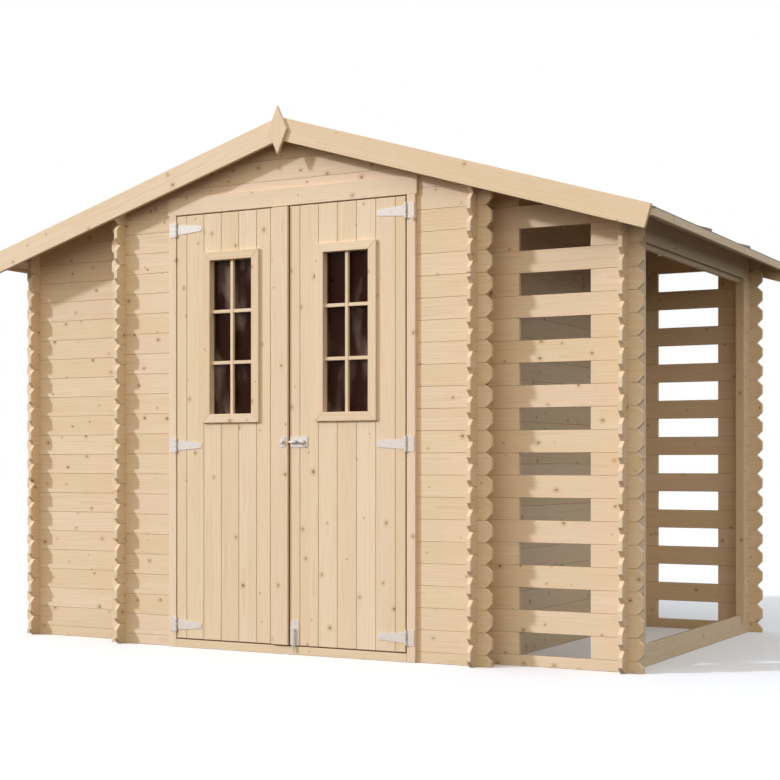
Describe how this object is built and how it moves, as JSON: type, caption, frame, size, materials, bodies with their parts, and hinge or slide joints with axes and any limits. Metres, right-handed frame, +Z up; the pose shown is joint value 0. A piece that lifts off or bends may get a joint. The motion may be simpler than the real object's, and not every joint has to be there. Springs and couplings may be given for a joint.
{
  "type": "log board shed with log store",
  "caption": "Timber garden shed of crossing log boards with double doors, a closed bay on its left and an open slatted log store on its right, under one gable roof.",
  "frame": {"origin": "centre of the bounding box at ground level", "axes": "+X to the right as seen from the front, +Y from the doors towards the rear wall, +Z up"},
  "size_m": [3.282, 2.015, 2.3221],
  "materials": {
    "wall_boards": "planed bare spruce",
    "trim_boards": "planed bare spruce",
    "roof_boards": "planed bare spruce",
    "door_boards": "planed bare spruce",
    "roof_felt": "mineral roofing felt",
    "window_glass": "clear pane",
    "galvanised": "bright zinc"
  },
  "bodies": {
    "shed": {"front_wall_left": "wall_boards", "front_wall_right": "wall_boards", "front_gable": "wall_boards", "rear_wall": "wall_boards", "bay_front": "wall_boards", "bay_side": "wall_boards", "room_side_left": "wall_boards", "room_side_right": "wall_boards", "log_store_front": "wall_boards", "log_store_side": "wall_boards", "log_store_head": "wall_boards", "log_store_frame": "trim_boards", "front_barge_left": "trim_boards", "front_barge_right": "trim_boards", "rear_barge_left": "trim_boards", "rear_barge_right": "trim_boards", "front_finial": "trim_boards", "rear_finial": "trim_boards", "eave_fascia_left": "trim_boards", "eave_fascia_right": "trim_boards", "door_jamb_left": "trim_boards", "door_jamb_right": "trim_boards", "door_lintel": "trim_boards", "door_sill": "trim_boards", "roof_left": "roof_boards", "roof_right": "roof_boards", "roof_felt": "roof_felt", "left_hinge_plates": "galvanised", "right_hinge_plates": "galvanised"},
    "left_door": {"left_leaf": "door_boards", "left_ledges": "door_boards", "left_window_trim": "trim_boards", "left_sash": "trim_boards", "left_glass": "window_glass", "left_hinge_straps": "galvanised", "meeting_strip": "trim_boards", "latch_keeper": "galvanised"},
    "right_door": {"right_leaf": "door_boards", "right_ledges": "door_boards", "right_window_trim": "trim_boards", "right_sash": "trim_boards", "right_glass": "window_glass", "right_hinge_straps": "galvanised", "latch": "galvanised", "foot_bolt": "galvanised"}
  },
  "joints": [
    {"name": "left_door_hinge", "type": "hinge", "parent": "shed", "child": "left_door", "pos_m": [-0.5755, -0.9365, 0.973], "axis": [0, 0, -1], "range_deg": [0, 160]},
    {"name": "right_door_hinge", "type": "hinge", "parent": "shed", "child": "right_door", "pos_m": [0.5755, -0.9365, 0.973], "axis": [0, 0, 1], "range_deg": [0, 160]}
  ]
}
